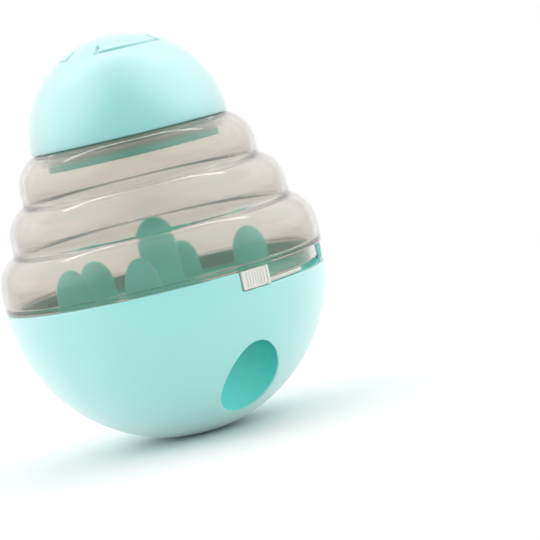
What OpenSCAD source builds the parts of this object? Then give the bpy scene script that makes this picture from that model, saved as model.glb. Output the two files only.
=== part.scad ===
// Self-righting treat ball: a round weighted bowl, a clear chamber of three tiers, a domed cap and a
// sliding gate that shuts or opens the drop tube. Millimetres. Origin on the foot, +Z up the axis,
// and the outlet and the gate's thumb tab face -Y.

/* [Base bowl] */
// outer radius of the round bowl
base_r = 52; // [49:0.5:56]
// wall of the bowl below the ledge
bowl_wall = 2.8; // [2.4:0.1:3.4]
// wall of the rim above the ledge
rim_wall = 2; // [1.8:0.1:2.2]
// radius of the small flat that the ball stands on
foot_r = 8; // [6:0.5:10]
// how far the chamber floor lies below the rim
floor_depth = 6.1; // [5.6:0.1:7]
// radius of the column that carries the chamber floor
column_r = 5; // [4:0.1:5.5]

/* [Outlet] */
// bore of the drop tube
outlet_d = 20.4; // [17:0.2:21.4]
// width of floor left between the drop hole and the rim
outlet_edge = 3.3; // [2.8:0.1:4]
// wall of the drop tube
tube_wall = 1.8; // [1.4:0.1:2.2]

/* [Gate] */
// thickness of the gate leaf
gate_t = 1.3; // [1.1:0.1:1.5]
// angle that the gate turns from shut to open
gate_sweep = 33.5; // [33.5:0.5:35.5]
// angle from the outlet's side to the leaf's far end
gate_tail = 28.9; // [26:0.1:29.5]
// width of the thumb tab along the rim
tab_w = 10.2; // [8:0.2:11]
// angle from the outlet's side to the tab's middle with the gate shut
tab_at = 1.8; // [0:0.1:3]
// number of grip ribs on the thumb tab
tab_ribs = 7; // [5:1:9]

/* [Chamber floor] */
// thickness of the floor plate
floor_t = 1.8; // [1.5:0.1:2.4]
// radius of the ring of pegs
peg_ring_r = 30.7; // [29.5:0.1:32]
// radius of a peg at its foot
peg_r = 5.8; // [5:0.1:6]
// height of a peg above the floor
peg_h = 16.4; // [13:0.2:19]
// radius of the centre post at its foot
post_r = 6.6; // [6:0.1:7.2]
// height of the centre post above the floor
post_h = 26; // [22:0.5:30]
// wall of the hollow pegs and of the hollow post
peg_wall = 1.8; // [1.4:0.1:2.2]

/* [Clear shell] */
// radius at the neck, where the cap sits
neck_r = 32.3; // [31:0.1:33.5]
// wall of the shell
shell_wall = 2; // [1.6:0.1:2.4]
// height of each of the two upper tiers
tier_pitch = 14.85; // [14:0.05:16.5]
// height of the lowest tier
low_tier_h = 17.6; // [16.5:0.1:19]
// radius of the rounded shoulders
shoulder_r = 12; // [11:0.5:13]
// width of the inner lip at the neck
neck_lip = 3.9; // [3.6:0.1:4.4]
// depth of the collar at the neck
collar_h = 4.2; // [3.6:0.1:4.8]
// wall of the collar at the neck
collar_wall = 1.9; // [1.5:0.1:2.2]
// wall of the skirt inside the bowl's rim
skirt_wall = 2; // [1.6:0.1:2.4]
// thickness of the step from the lowest tier's wall in to the skirt
step_t = 1.2; // [1:0.1:2]
// height of a bayonet lug
lug_h = 1.6; // [1.2:0.1:1.8]
// turn that frees the bayonet lugs
shell_twist = 20; // [20:1:26]

/* [Cap] */
// wall of the dome
cap_wall = 2.2; // [1.8:0.1:2.6]
// how deep the plug reaches below the neck
plug_h = 6.3; // [5.8:0.1:8]
// wall of the plug
plug_wall = 2.8; // [2.6:0.1:3.2]
// thickness of the plug's closed end
plug_end = 1.8; // [1.4:0.1:2]
// thickness of the seal ring
seal_d = 1.7; // [1.4:0.1:1.8]
// radius of the ring of grip grooves, in plan
grip_r = 17.4; // [15:0.2:19]
// radius in plan at which the grooves' end strokes stop
grip_in_r = 13; // [11:0.5:14]
// width of a grip groove
grip_w = 1.6; // [1.4:0.2:2.4]

/* [Counterweight] */
// height of the steel weight
weight_h = 11; // [8:0.5:14]
// gap between the weight and the drop tube
weight_gap = 1.5; // [1:0.1:3]
// height of the bosses' tops above the foot
boss_z = 12; // [11:0.5:14]
// radius of a screw boss
boss_r = 4; // [3.5:0.1:4.5]

/* [Screws] */
// thickness of a screw's shank
screw_d = 3; // [2.6:0.1:3.4]
// radius of a screw's head
head_r = 2.9; // [2.6:0.1:3.2]
// height of a screw's head
head_h = 2; // [1.8:0.1:2.4]

/* [Hidden] */
$fn = 96;
// clearance between pieces that move, overlap of pieces that join, and a size beyond the whole ball
gap = 0.3;
lap = 0.5;
far = 400;
front = -90;

rim_z = sqrt(pow(base_r, 2) - pow(foot_r, 2));
seat_r = base_r - rim_wall;
bowl_in_r = base_r - bowl_wall;
floor_z = rim_z - floor_depth;
ledge_z = floor_z - floor_t;
floor_r = seat_r - gap / 2;

outlet_r = outlet_d / 2;
outlet_y = seat_r - outlet_edge - outlet_r;
tube_r = outlet_r + tube_wall;
spigot_r = tube_r + 0.2;
spigot_wall = 1.6;
spigot_h = 4;

leaf_lap = 0.8;
hole_half = asin(outlet_r / outlet_y);
tab_half = asin(tab_w / 2 / base_r);
gate_z = floor_z + 0.1;
gate_top = gate_z + gate_t;
gate_in = outlet_y - outlet_r - 1.1;
gate_out = seat_r - gap;
gate_head = -hole_half - leaf_lap;
open_tail = gate_tail + gate_sweep;
stop_gap = 1.5;
guide_r = gate_in - 0.4;
guide_wall = 1.4;
keeper = [17.5, 27.5];
keeper_t = 1.2;
tongue_r = base_r - 0.9;
tongue_half = tab_half - 1.4;
tab_bar = 1.1;

skirt_z = gate_top + 0.2;
skirt_r = seat_r - gap;
lug_half = 5;
slot_ease = 1;
lug_out = seat_r + 0.3 * rim_wall;
lug_z = skirt_z + lap;
lug_at = [80, 200, 320];

notch_z = floor_z - 0.1;
notch = [tab_at - tab_half - 0.5, open_tail + stop_gap];

shell_z = rim_z + gap;
shell_r = base_r + 0.4;
tier_step = (shell_r - neck_r) / 3;
neck_z = shell_z + low_tier_h + 2 * tier_pitch;
shoulder_h = sqrt(pow(shoulder_r, 2) - pow(shoulder_r - tier_step, 2));
inner_r = shoulder_r - shell_wall;
inner_rise = sqrt(pow(inner_r, 2) - pow(inner_r - tier_step, 2));
bore_r = neck_r - neck_lip;

cap_z = neck_z + 0.25;
cap_in_r = neck_r - cap_wall;
plug_r = bore_r - gap;
flange_h = 2.4;
flange_r = sqrt(pow(cap_in_r, 2) - pow(flange_h, 2)) - 0.1;
seal_ring_r = bore_r - gap / 2 - seal_d / 2;
seal_z = neck_z - 2.2;
grip_half = 40;
grip_at = [-4, 116, 236];
grip_dimple_r = grip_w / 2 + 0.4;
stroke_r = grip_w / 2 + 0.15;

screw_r = screw_d / 2;
thread_r = screw_r + 0.05;
recess = [3.2, 0.8, 1];
weight_r = outlet_y - tube_r - weight_gap;
boss_in = 7;
boss_ring_r = weight_r - boss_in;
weight_top = boss_z + weight_h;
screw_tip = 6;
screw_bite = 12;
plate_screw_h = floor_t + screw_bite;
peg_at = [77, 137, 197, 257, 317];
peg_tip = 10.5;
post_tip = 7;
draft = 0.3;
socket_wall = 1.5;
socket_h = 2.2;

teal = [0.55, 0.85, 0.83];
smoke = [0.78, 0.75, 0.7, 0.35];
frost = [0.88, 0.88, 0.86, 0.8];
steel = [0.62, 0.63, 0.65];
rubber = [0.86, 0.87, 0.86];

// curved block about the axis, between two angles measured from the outlet's side
module arc_block(r0, r1, z0, z1, a0, a1) {
    rotate([0, 0, front + a0])
        rotate_extrude(angle = a1 - a0)
            translate([r0, z0])
                square([r1 - r0, z1 - z0]);
}

// ring of square section
module ring(r0, r1, z0, z1) {
    translate([0, 0, z0])
        difference() {
            cylinder(r = r1, h = z1 - z0);
            translate([0, 0, -lap])
                cylinder(r = r0, h = z1 - z0 + 2 * lap);
        }
}

// round-ended finger, inset by trim: a slight cone below an oval tip
module finger(foot, h, tip_h, trim) {
    top_r = foot - draft - trim;
    tip = [for (a = [0:7.5:90]) [top_r * cos(a), h - tip_h + (tip_h - trim) * sin(a)]];
    rotate_extrude()
        polygon(concat([[0, 0], [foot - trim, 0]], tip));
}

// pan-head screw with a cross recess: the head sits at z = 0 and the shank points down
module pan_screw(length) {
    difference() {
        union() {
            translate([0, 0, -length])
                cylinder(r = screw_r, h = length + lap);
            cylinder(r1 = head_r, r2 = 0.8 * head_r, h = head_h);
        }
        for (a = [0, 90])
            rotate([0, 0, a])
                translate([-recess.x / 2, -recess.y / 2, head_h - recess.z])
                    cube([recess.x, recess.y, recess.z + lap]);
    }
}

module at_weight_screws() {
    for (a = [30, 150, 270])
        rotate([0, 0, a])
            translate([boss_ring_r, 0, 0])
                children();
}

module at_pegs(z) {
    for (a = peg_at)
        rotate([0, 0, front + a])
            translate([peg_ring_r, 0, z])
                children();
}

// half outline of the tiers from the axis out, inset by t
module tier_outline(t) {
    rise = t > 0 ? inner_rise : shoulder_h;
    for (i = [0:2]) {
        top_r = neck_r + i * tier_step;
        top_z = neck_z - i * tier_pitch;
        mid_z = top_z - shoulder_h;
        mid_r = top_r + tier_step - shoulder_r;
        low_z = i < 2 ? mid_z - tier_pitch + rise - lap : shell_z;
        translate([0, low_z])
            square([top_r + tier_step - t, mid_z - low_z]);
        intersection() {
            translate([mid_r, mid_z])
                circle(r = shoulder_r - t);
            translate([mid_r - lap, mid_z - lap])
                square([shoulder_r + 2 * lap, rise + lap]);
        }
        translate([0, mid_z - lap])
            square([mid_r, rise + lap]);
    }
}

// half section of the clear shell
module shell_outline() {
    difference() {
        union() {
            tier_outline(0);
            translate([0, skirt_z])
                square([skirt_r, shell_z - skirt_z + lap]);
        }
        difference() {
            intersection() {
                tier_outline(shell_wall);
                translate([0, shell_z + step_t])
                    square([far, neck_z - shell_wall - shell_z - step_t]);
            }
            translate([0, neck_z - collar_h])
                square([bore_r + collar_wall, collar_h]);
        }
        translate([0, skirt_z - lap])
            square([skirt_r - skirt_wall, shell_z + step_t - skirt_z + 2 * lap]);
        translate([0, neck_z - collar_h - lap])
            square([bore_r, collar_h + 2 * lap]);
    }
}

// slots in the rim: each lug drops in at the open end and turns under the rim
module bayonet_slots() {
    for (a = lug_at) {
        arc_block(seat_r - lap, lug_out + gap, lug_z - gap, lug_z + lug_h + gap,
            a - lug_half - slot_ease, a + shell_twist + lug_half + slot_ease);
        arc_block(seat_r - 2 * lap, lug_out + 1.2 * gap, lug_z + lug_h / 2, rim_z + lap,
            a + shell_twist - lug_half - slot_ease / 2, a + shell_twist + lug_half + slot_ease / 2);
    }
}

// clip that hangs over the leaf's inner edge
module leaf_keeper() {
    post = [guide_r - guide_wall + 0.2, guide_r - 0.2];
    lip_z = gate_top + gap;
    rotate([0, 0, front + keeper[0]])
        rotate_extrude(angle = keeper[1] - keeper[0])
            polygon([
                [post[0], floor_z + 0.2],
                [post[1], floor_z + 0.2],
                [post[1], lip_z],
                [gate_in + guide_wall, lip_z],
                [gate_in + guide_wall, lip_z + keeper_t],
                [post[0], lip_z + keeper_t]
            ]);
}

module base_bowl() {
    color(teal)
        difference() {
            union() {
                difference() {
                    translate([0, 0, rim_z])
                        sphere(r = base_r);
                    translate([0, 0, rim_z])
                        sphere(r = bowl_in_r);
                    translate([0, 0, ledge_z])
                        cylinder(r = seat_r, h = far);
                }
                intersection() {
                    translate([0, 0, rim_z])
                        sphere(r = base_r - lap);
                    union() {
                        translate([0, -outlet_y, 0])
                            cylinder(r = tube_r, h = ledge_z);
                        cylinder(r = column_r, h = ledge_z);
                        at_weight_screws()
                            cylinder(r = boss_r, h = boss_z);
                    }
                }
            }
            translate([-far / 2, -far / 2, rim_z])
                cube(far);
            translate([-far / 2, -far / 2, -far])
                cube(far);
            translate([0, -outlet_y, -lap])
                cylinder(r = outlet_r, h = far);
            translate([0, 0, floor_z - plate_screw_h - lap])
                cylinder(r = thread_r, h = far);
            at_weight_screws()
                translate([0, 0, screw_tip - lap])
                    cylinder(r = thread_r, h = far);
            arc_block(seat_r - lap, base_r + lap, notch_z, rim_z + lap, notch[0], notch[1]);
            bayonet_slots();
        }
}

module counterweight() {
    color(steel)
        translate([0, 0, boss_z])
            difference() {
                cylinder(r = weight_r, h = weight_h);
                translate([0, 0, -lap])
                    cylinder(r = column_r + gap, h = weight_h + 2 * lap);
                at_weight_screws()
                    translate([0, 0, -lap])
                        cylinder(r = screw_r + gap, h = weight_h + 2 * lap);
            }
}

module weight_screws() {
    color(steel)
        at_weight_screws()
            translate([0, 0, weight_top])
                pan_screw(weight_top - screw_tip);
}

module floor_plate() {
    color(teal)
        difference() {
            union() {
                translate([0, 0, ledge_z])
                    cylinder(r = floor_r, h = floor_t);
                at_pegs(floor_z - lap)
                    finger(peg_r, peg_h + lap, peg_tip, 0);
                ring(post_r + gap / 2, post_r + socket_wall, floor_z - lap, floor_z + socket_h);
                arc_block(skirt_r - skirt_wall, skirt_r, floor_z - lap, skirt_z - gap,
                    open_tail + stop_gap, 360 + gate_head - stop_gap);
                arc_block(guide_r - guide_wall, guide_r, floor_z - lap, gate_top,
                    gate_head - stop_gap, open_tail + stop_gap);
                leaf_keeper();
                intersection() {
                    translate([0, -outlet_y, 0])
                        ring(spigot_r, spigot_r + spigot_wall, ledge_z - spigot_h, ledge_z + lap);
                    translate([0, 0, ledge_z - far / 2])
                        cylinder(r = outlet_y + 3, h = far);
                }
            }
            at_pegs(ledge_z - lap)
                finger(peg_r, peg_h + floor_t + lap, peg_tip, peg_wall);
            translate([0, -outlet_y, ledge_z - lap])
                cylinder(r = outlet_r, h = floor_t + 2 * lap);
            translate([0, 0, ledge_z - lap])
                cylinder(r = screw_r + gap, h = floor_t + 2 * lap);
        }
}

module plate_screw() {
    color(steel)
        translate([0, 0, floor_z])
            pan_screw(plate_screw_h);
}

module centre_post() {
    color(teal)
        translate([0, 0, floor_z])
            difference() {
                finger(post_r, post_h, post_tip, 0);
                translate([0, 0, -lap])
                    finger(post_r, post_h + lap, post_tip, peg_wall);
            }
}

module gate_leaf() {
    color(frost)
        union() {
            arc_block(gate_in, gate_out, gate_z, gate_top, gate_head, gate_tail);
            arc_block(gate_out - lap, tongue_r, gate_z, gate_top,
                tab_at - tongue_half, tab_at + tongue_half);
        }
}

module thumb_tab() {
    top_z = rim_z - 0.1;
    rib_r = 0.3;
    pitch = 2 * (tab_half - tab_bar) / (tab_ribs + 1);
    color(frost)
        rotate([0, 0, tab_at])
            difference() {
                union() {
                    arc_block(skirt_r + 0.4, base_r - 0.1, gate_z, top_z, -tab_half, tab_half);
                    for (a = [-tab_half, tab_half - tab_bar])
                        arc_block(base_r - lap, shell_r, gate_z, top_z, a, a + tab_bar);
                    for (i = [1:tab_ribs])
                        rotate([0, 0, front - tab_half + tab_bar + i * pitch])
                            translate([base_r - 0.2, 0, gate_z + lap])
                                cylinder(r = rib_r, h = top_z - gate_z - 2 * lap);
                }
                arc_block(skirt_r, tongue_r + 0.05, gate_z - lap, gate_top + 0.05,
                    -tongue_half - 0.05, tongue_half + 0.05);
            }
}

module clear_shell() {
    color(smoke)
        union() {
            rotate_extrude()
                shell_outline();
            for (a = lug_at)
                arc_block(skirt_r - lap, lug_out, lug_z, lug_z + lug_h, a - lug_half, a + lug_half);
        }
}

// end stroke of a grip groove: up the dome from the groove's ring, in the XZ plane
module grip_stroke() {
    low = acos(grip_r / neck_r);
    high = acos(grip_in_r / neck_r);
    translate([0, 0, cap_z])
        rotate([90, 0, 0]) {
            rotate([0, 0, low])
                rotate_extrude(angle = high - low)
                    translate([neck_r, 0])
                        circle(r = stroke_r);
            translate([grip_r, neck_r * sin(low), 0])
                sphere(r = grip_dimple_r);
            translate([grip_in_r, neck_r * sin(high), 0])
                sphere(r = stroke_r + 0.05);
        }
}

module cap_dome() {
    groove_z = cap_z + sqrt(pow(neck_r, 2) - pow(grip_r, 2));
    color(teal)
        difference() {
            translate([0, 0, cap_z])
                sphere(r = neck_r);
            translate([0, 0, cap_z])
                sphere(r = cap_in_r);
            translate([-far / 2, -far / 2, cap_z - far])
                cube(far);
            for (a = grip_at) {
                rotate([0, 0, front + a - grip_half])
                    rotate_extrude(angle = 2 * grip_half)
                        translate([grip_r, groove_z])
                            circle(r = grip_w / 2);
                for (end = [-grip_half, grip_half])
                    rotate([0, 0, front + a + end])
                        grip_stroke();
            }
        }
}

module cap_plug() {
    color(teal)
        difference() {
            union() {
                translate([0, 0, neck_z - plug_h])
                    cylinder(r = plug_r, h = cap_z - neck_z + plug_h + lap);
                translate([0, 0, cap_z])
                    cylinder(r = flange_r, h = flange_h);
            }
            translate([0, 0, neck_z - plug_h + plug_end])
                cylinder(r = plug_r - plug_wall, h = far);
            ring(seal_ring_r - seal_d / 2 - 0.05, far, seal_z - seal_d / 2 - gap / 2,
                seal_z + seal_d / 2 + gap / 2);
        }
}

module cap_seal() {
    color(rubber)
        rotate_extrude()
            translate([seal_ring_r, seal_z])
                circle(r = seal_d / 2);
}

base_bowl();
counterweight();
weight_screws();
floor_plate();
plate_screw();
centre_post();
gate_leaf();
thumb_tab();
clear_shell();
cap_dome();
cap_plug();
cap_seal();
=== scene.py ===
"""Dresses the treat ball: a weighted teal bowl, a stepped clear shell, a lift-off cap and a gate.

Lengths are millimetres and angles are degrees unless a line says otherwise. Angles round the ball
are counted from the outlet's side, and a mesh is turned into metres when its object is made.
"""

import logging
import math
from dataclasses import dataclass
from enum import Enum

import bpy
import numpy as np
from mathutils import Matrix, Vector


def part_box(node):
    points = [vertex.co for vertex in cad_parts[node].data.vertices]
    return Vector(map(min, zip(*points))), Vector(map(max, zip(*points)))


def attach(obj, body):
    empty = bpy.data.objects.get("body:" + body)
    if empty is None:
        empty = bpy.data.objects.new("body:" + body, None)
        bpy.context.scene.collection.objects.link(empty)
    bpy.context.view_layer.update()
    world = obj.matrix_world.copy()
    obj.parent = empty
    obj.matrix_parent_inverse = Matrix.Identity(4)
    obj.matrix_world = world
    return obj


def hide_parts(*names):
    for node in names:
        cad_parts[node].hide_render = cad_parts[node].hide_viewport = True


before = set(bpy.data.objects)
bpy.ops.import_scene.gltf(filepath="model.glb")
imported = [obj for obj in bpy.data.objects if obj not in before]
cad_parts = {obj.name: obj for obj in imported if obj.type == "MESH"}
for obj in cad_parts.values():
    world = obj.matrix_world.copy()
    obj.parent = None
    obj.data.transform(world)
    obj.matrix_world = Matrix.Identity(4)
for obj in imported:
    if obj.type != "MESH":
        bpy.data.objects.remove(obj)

LOG = logging.getLogger("treat_ball")
MM = 0.001

# An edge that bends by more stays sharp.
SHARP_EDGE = 40.0
# A softened outline is sampled this often at least, or at this share of the softening.
LEAST_SAMPLES = 256
SAMPLE_SHARE = 0.18
SPARE_POINTS = 8
# Points of a turned profile that lie closer to the axis give way to the pole.
POLE_GAP = 0.02
# Rows of the rounding at each end of a sweep.
END_ROWS = 5

Pair = tuple[float, float]
Triple = tuple[float, float, float]
Colour = tuple[float, float, float, float]
Numbers = np.ndarray | float
Material = bpy.types.Material
Node = bpy.types.Node
Socket = bpy.types.NodeSocket
Tree = bpy.types.NodeTree
Inputs = dict[str | int, Socket | float | tuple]

# Scales per metre of the mould's grain and of its drift.
GRAIN_SCALES: Pair = (900.0, 26.0)


class Body(Enum):
    """The moving bodies of the part."""

    BASE = "base"
    GATE = "gate"
    SHELL = "shell"
    CAP = "cap"


class Slot(Enum):
    """Names of the solids' material slots; a new piece is handed one, but takes the finish it is
    given.
    """

    BOWL = "teal_bowl"
    FLOOR = "teal_floor"
    CAP = "teal_cap"
    SMOKE = "smoke_clear"
    FROST = "frosted_clear"
    SEAL = "seal_silicone"


class Ray(Enum):
    """The kinds of ray that a shader can tell apart."""

    CAMERA = "Is Camera Ray"
    CLEAR = "Is Transmission Ray"
    GLOSS = "Is Glossy Ray"
    LAMP = "Is Shadow Ray"


# Surfaces


@dataclass(frozen=True)
class Surface:
    """One or more closed skins.

    Attributes:
        points: corner places, one row each.
        quads: four corner numbers a row.
        tris: three corner numbers a row.
    """

    points: np.ndarray
    quads: np.ndarray
    tris: np.ndarray

    def outward(self) -> "Surface":
        """Turns the faces outwards, by the sign of the sum of a . (b x c) over triangles a, b, c.

        Returns:
            The skin with its faces outwards.
        """
        split = np.concatenate([self.quads[:, [0, 1, 2]], self.quads[:, [0, 2, 3]], self.tris])
        a, b, c = (self.points[split[:, k]] for k in range(3))
        if np.einsum("ij,ij->i", a, np.cross(b, c)).sum() >= 0.0:
            return self
        return Surface(self.points, self.quads[:, ::-1], self.tris[:, ::-1])


def grid_surface(rows: np.ndarray, poles: bool = False) -> Surface:
    """Skins a grid of points whose columns run right round.

    Args:
        rows: points as (rows, columns, 3).
        poles: whether the first and last rows are single points; if not, the last joins the first.

    Returns:
        The closed skin, faces outwards.
    """
    index = np.arange(rows.shape[0] * rows.shape[1]).reshape(rows.shape[:2])
    if poles:
        index[0], index[-1] = index[0, 0], index[-1, 0]
    else:
        index = np.concatenate([index, index[:1]])
    a, d = index[:-1], index[1:]
    b, c = np.roll(a, -1, axis=1), np.roll(d, -1, axis=1)
    quads = np.stack([a, b, c, d], axis=-1)
    tris = np.zeros((0, 3), dtype=int)
    if poles:
        quads = quads[1:-1]
        fans = [a[0], c[0], d[0]], [a[-1], b[-1], d[-1]]
        tris = np.concatenate([np.stack(fan, axis=-1) for fan in fans])
    corners = np.concatenate([quads.ravel(), tris.ravel()])
    used, packed = np.unique(corners, return_inverse=True)
    four, three = packed[: quads.size].reshape(-1, 4), packed[quads.size :].reshape(-1, 3)
    return Surface(rows.reshape(-1, 3)[used], four, three).outward()


def joined(*skins: Surface) -> Surface:
    """Puts several closed skins into one surface.

    Args:
        skins: the skins.

    Returns:
        One surface that holds them all.
    """
    starts = np.cumsum([0] + [len(s.points) for s in skins[:-1]])
    return Surface(
        np.concatenate([s.points for s in skins]),
        np.concatenate([s.quads + k for s, k in zip(skins, starts)]),
        np.concatenate([s.tris + k for s, k in zip(skins, starts)]),
    )


def around(angle: Numbers, radius: Numbers, height: Numbers) -> np.ndarray:
    """Places round the ball's axis: x = r sin a, y = -r cos a, z = height.

    Args:
        angle: degrees from the outlet's side.
        radius: distances from the axis.
        height: heights above the floor.

    Returns:
        The places, with x, y and z along the last axis.
    """
    turn = np.radians(angle)
    x, y, z = np.broadcast_arrays(radius * np.sin(turn), -radius * np.cos(turn), height)
    return np.stack([x, y, z], axis=-1)


def full_turn(count: int) -> np.ndarray:
    """Even angles right round."""
    return np.linspace(0.0, 360.0, count, endpoint=False)


def between(start: Numbers, end: Numbers, count: int) -> np.ndarray:
    """Even points from start to end, without either."""
    return np.linspace(start, end, count + 2)[1:-1]


def onward(count: int) -> np.ndarray:
    """Even shares of the way up to 1, without 0."""
    return np.linspace(0.0, 1.0, count + 1)[1:]


def short_way(angle: np.ndarray, mark: float, period: float = 360.0) -> np.ndarray:
    """Signed degrees from a mark that repeats, the short way round."""
    return (angle - mark + period / 2.0) % period - period / 2.0


def quarter_round(radius: float, count: int) -> tuple[np.ndarray, np.ndarray]:
    """Gaps of a rounded edge to its two faces: r (1 - sin t) and r (1 - cos t), t from 0 to 90."""
    t = np.radians(np.linspace(0.0, 90.0, count))
    return radius * (1.0 - np.sin(t)), radius * (1.0 - np.cos(t))


def smooth_step(low: float, high: float, value: np.ndarray) -> np.ndarray:
    """Rises from 0 at low to 1 at high along 3t^2 - 2t^3."""
    t = np.clip((value - low) / (high - low), 0.0, 1.0)
    return t * t * (3.0 - 2.0 * t)


def slerp(start: np.ndarray, end: np.ndarray, share: np.ndarray) -> np.ndarray:
    """Unit vectors along the great arc from start to end.

    Args:
        start: unit vectors (columns, 3).
        end: unit vectors (columns, 3).
        share: shares of the way, (rows,).

    Returns:
        sin((1-t)w)/sin w * start + sin(tw)/sin w * end, as (rows, columns, 3).
    """
    angle = np.arccos(np.clip(np.einsum("ij,ij->i", start, end), -1.0, 1.0))[None, :, None]
    t = share[:, None, None]
    return (np.sin((1.0 - t) * angle) * start + np.sin(t * angle) * end) / np.sin(angle)


def arc(centre: Pair, radius: float, start: float, end: float, count: int) -> np.ndarray:
    """Points of a circle in the (r, z) plane from one angle to another."""
    turn = np.radians(np.linspace(start, end, count))
    return np.stack([centre[0] + radius * np.cos(turn), centre[1] + radius * np.sin(turn)], axis=-1)


def oval_tip(wide: float, deep: float, height: float, count: int = 25) -> np.ndarray:
    """A quarter oval in the (r, z) plane, from its foot at that height up to the axis."""
    circle = arc((0.0, 0.0), 1.0, 0.0, 90.0, count)
    return circle * np.array([wide, deep]) + np.array([0.0, height])


def softened(outline: np.ndarray, reach: float, step: float, bend: float) -> np.ndarray:
    """Rounds the corners of a closed outline and spaces its points by how much it bends.

    The outline is sampled evenly along its length, blurred with a bell curve of width reach in the
    frequency plane, and sampled again so that each step is as long as step or turns by bend.

    Args:
        outline: corners (count, 2), not repeating the first.
        reach: the bell curve's standard deviation.
        step: longest distance between points.
        bend: largest turn between points.

    Returns:
        The softened outline, (count, 2).
    """
    loop = np.concatenate([outline, outline[:1]])
    length = np.concatenate([[0.0], np.cumsum(np.linalg.norm(np.diff(loop, axis=0), axis=1))])
    count = max(LEAST_SAMPLES, int(length[-1] / (SAMPLE_SHARE * reach)))
    even = np.linspace(0.0, length[-1], count, endpoint=False)
    dense = np.stack([np.interp(even, length, loop[:, k]) for k in range(2)], axis=-1)
    pace = np.fft.rfftfreq(count, length[-1] / count)[:, None]
    bell = np.exp(-2.0 * (math.pi * pace * reach) ** 2)
    blurred = np.fft.irfft(np.fft.rfft(dense, axis=0) * bell, count, axis=0)
    ahead = np.roll(blurred, -1, axis=0) - blurred
    turn = np.unwrap(np.arctan2(ahead[:, 1], ahead[:, 0]))
    turned = np.abs(np.diff(turn, append=turn[-1])) / math.radians(bend)
    total = np.concatenate([[0.0], np.cumsum(np.linalg.norm(ahead, axis=1) / step + turned)])
    points = int(math.ceil(total[-1])) + SPARE_POINTS
    wanted = np.linspace(0.0, total[-1], points, endpoint=False)
    closed = np.concatenate([blurred, blurred[:1]])
    return np.stack([np.interp(wanted, total, closed[:, k]) for k in range(2)], axis=-1)


def box_outline(low: Pair, high: Pair, reach: float) -> np.ndarray:
    """A rectangle in the (r, z) plane with softened corners."""
    corners = np.array([low, (high[0], low[1]), high, (low[0], high[1])])
    return softened(corners, reach, step=1.5, bend=14.0)


def turned_ring(outline: np.ndarray, columns: int) -> Surface:
    """A closed (r, z) outline that stays off the axis, carried right round it."""
    return grid_surface(around(full_turn(columns), outline[:, :1], outline[:, 1:]))


def turned_solid(
    profile: np.ndarray, columns: int, reach: float, at: Pair = (0.0, 0.0)
) -> Surface:
    """A profile that starts and ends on the axis, softened with its mirror image and carried round.

    Args:
        profile: (r, z) corners from the axis back to the axis.
        columns: points round the axis.
        reach: softening of the corners.
        at: angle round the ball of the solid's own axis and its distance from the ball's.

    Returns:
        The closed solid of revolution with a pole at each end.
    """
    mirror = profile[::-1] * np.array([-1.0, 1.0])
    loop = softened(np.concatenate([profile, mirror[1:-1]]), reach, step=1.2, bend=9.0)
    side = loop[loop[:, 0] > POLE_GAP]
    first = int(np.argmax(np.linalg.norm(side - np.roll(side, 1, axis=0), axis=1)))
    side = np.roll(side, -first, axis=0)
    line = np.concatenate([[[0.0, side[0, 1]]], side, [[0.0, side[-1, 1]]]])
    rows = around(full_turn(columns), line[:, :1], line[:, 1:]) + around(*at, 0.0)
    return grid_surface(rows, poles=True)


def swept_arc(outline: np.ndarray, ends: Pair, columns: int, ease: float) -> Surface:
    """An (r, z) outline carried along an arc round the axis, its ends closed and slightly rounded.

    At an end the outline shrinks towards its middle by a quarter round.

    Args:
        outline: closed outline (count, 2), seen whole from its middle.
        ends: first and last angle.
        columns: stations along the arc.
        ease: rounding of the ends.

    Returns:
        The closed sweep.
    """
    start, end = ends
    hub = outline.mean(axis=0)
    spread = np.linalg.norm(outline - hub, axis=1).mean()
    drawn, moved = quarter_round(1.0, END_ROWS)
    ease_turn = math.degrees(ease / hub[0])
    inward, along = 1.0 - ease / spread * drawn, ease_turn * moved
    middle = between(start + ease_turn, end - ease_turn, columns - 2)
    angles = np.concatenate([[start], start + along, middle, (end - along)[::-1], [end]])
    shares = np.concatenate([[0.0], inward, np.ones(columns - 2), inward[::-1], [0.0]])
    places = hub + shares[:, None, None] * (outline - hub)
    return grid_surface(around(angles[:, None], places[..., 0], places[..., 1]), poles=True)


def mesh_object(name: str, skin: Surface) -> bpy.types.Object:
    """Makes the object of a surface, in metres, smooth but for its sharp edges.

    Args:
        name: the piece's name.
        skin: its closed surface.

    Returns:
        The object at the origin.
    """
    mesh = bpy.data.meshes.new(name)
    corners = np.concatenate([skin.quads.ravel(), skin.tris.ravel()]).astype(np.int32)
    sizes = np.repeat([4, 3], [len(skin.quads), len(skin.tris)])
    starts = np.concatenate([[0], np.cumsum(sizes)[:-1]]).astype(np.int32)
    mesh.vertices.add(len(skin.points))
    mesh.vertices.foreach_set("co", (skin.points * MM).astype(np.float32).ravel())
    mesh.loops.add(len(corners))
    mesh.loops.foreach_set("vertex_index", corners)
    mesh.polygons.add(len(sizes))
    mesh.polygons.foreach_set("loop_start", starts)
    mesh.polygons.foreach_set("use_smooth", np.ones(len(sizes), dtype=bool))
    mesh.update(calc_edges=True)
    mesh.validate()
    mesh.set_sharp_from_angle(angle=math.radians(SHARP_EDGE))
    made = bpy.data.objects.new(name, mesh)
    bpy.context.scene.collection.objects.link(made)
    return made


def add_piece(
    name: str, skin: Surface, finish: Material, body: Body, slot: Slot, *nodes: str
) -> bpy.types.Object:
    """Makes a piece, gives it its finish and ties it to its body.

    Args:
        name: the piece's name.
        skin: its closed surface.
        finish: its material.
        body: the body it moves with.
        slot: a material slot's name; not used.
        nodes: the solids that it stands for.

    Returns:
        The finished object.
    """
    made = mesh_object(name, skin)
    made.data.materials.append(finish)
    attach(made, body.value)
    if nodes:
        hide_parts(*nodes)
    LOG.info("%s: %d faces, rides on %s", name, len(made.data.polygons), body.value)
    return made


# Sizes from the frame


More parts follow.
